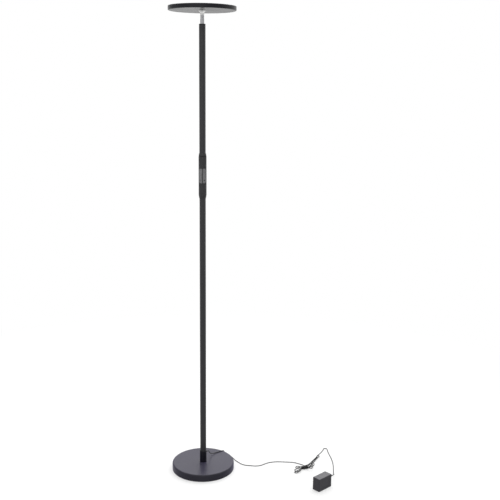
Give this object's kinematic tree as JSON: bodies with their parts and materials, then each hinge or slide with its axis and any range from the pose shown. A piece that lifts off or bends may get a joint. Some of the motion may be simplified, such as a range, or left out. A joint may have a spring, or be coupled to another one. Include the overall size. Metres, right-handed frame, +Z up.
{
  "type": "torchiere floor lamp",
  "caption": "Slim black floor lamp with a weighted round base, a tilting disc head that lights the ceiling, push keys on the pole and a wall adapter on a bundled cord.",
  "frame": {"origin": "middle of the base on the floor", "axes": "+Z up along the pole, the keys face -Y, the cord lies towards +X"},
  "size_m": [0.649, 0.3749, 1.78],
  "materials": {
    "black_steel": "satin powder coat",
    "iron_weight": "rough",
    "black_plastic": "fine matte texture",
    "black_rubber": "matte",
    "cord_jacket": "satin",
    "zinc_steel": "zinc plated",
    "key_grey": "satin",
    "circuit_board": "satin",
    "component_black": "gloss",
    "plug_white": "satin",
    "bright_steel": "bright plated",
    "nylon": "satin",
    "head_black": "satin black paint",
    "bare_aluminium": "plain",
    "light_board": "white mask",
    "light_chip": "phosphor",
    "opal": "frosted",
    "prong_metal": "nickel plated"
  },
  "bodies": {
    "stand": {"base_cover": "black_steel", "base_weight": "iron_weight", "base_tray": "black_plastic", "base_feet": "black_rubber", "base_washer": "zinc_steel", "spring_washer": "zinc_steel", "base_bolt": "zinc_steel", "pole_insert": "zinc_steel", "lower_pole": "black_steel", "foot_collar": "black_steel", "cord_grommet": "black_rubber", "pole_coupler": "zinc_steel", "middle_pole": "black_steel", "upper_pole": "black_steel", "sleeve_front": "black_plastic", "sleeve_rear": "black_plastic", "sleeve_screws": "zinc_steel", "control_board": "circuit_board", "key_switches": "component_black", "board_plugs": "plug_white", "lower_lead": "cord_jacket", "upper_lead": "cord_jacket", "pole_cap": "black_plastic", "cord_to_hank": "cord_jacket", "cord_hank": "cord_jacket", "cord_tie": "cord_jacket", "cord_to_adapter": "cord_jacket", "adapter_case": "black_plastic", "adapter_cover": "black_plastic", "adapter_prongs": "prong_metal", "adapter_relief": "black_rubber", "adapter_board": "circuit_board", "adapter_transformer": "component_black", "adapter_capacitor": "component_black"},
    "neck": {"neck_fork": "bright_steel", "neck_nut": "zinc_steel", "tilt_pin": "zinc_steel", "friction_washers": "nylon"},
    "head": {"head_mount": "bright_steel", "head_pan": "head_black", "mount_screws": "zinc_steel", "heat_spreader": "bare_aluminium", "led_board": "light_board", "led_chips": "light_chip", "head_plug": "plug_white", "head_lead": "plug_white", "diffuser": "opal", "top_ring": "head_black"},
    "key_left": {"key_left": "key_grey"},
    "key_right": {"key_right": "key_grey"}
  },
  "joints": [
    {"name": "neck_swivel", "type": "hinge", "parent": "stand", "child": "neck", "pos_m": [0, 0, 1.71], "axis": [0, 0, 1], "range_deg": [-170, 170]},
    {"name": "head_tilt", "type": "hinge", "parent": "neck", "child": "head", "pos_m": [0, 0, 1.743], "axis": [0, 1, 0], "range_deg": [-90, 90]},
    {"name": "key_left_press", "type": "slide", "parent": "stand", "child": "key_left", "axis": [0, 1, 0], "range_m": [0, 0.0007], "stiffness_N_per_m": 600},
    {"name": "key_right_press", "type": "slide", "parent": "stand", "child": "key_right", "axis": [0, 1, 0], "range_m": [0, 0.0007], "stiffness_N_per_m": 600}
  ]
}
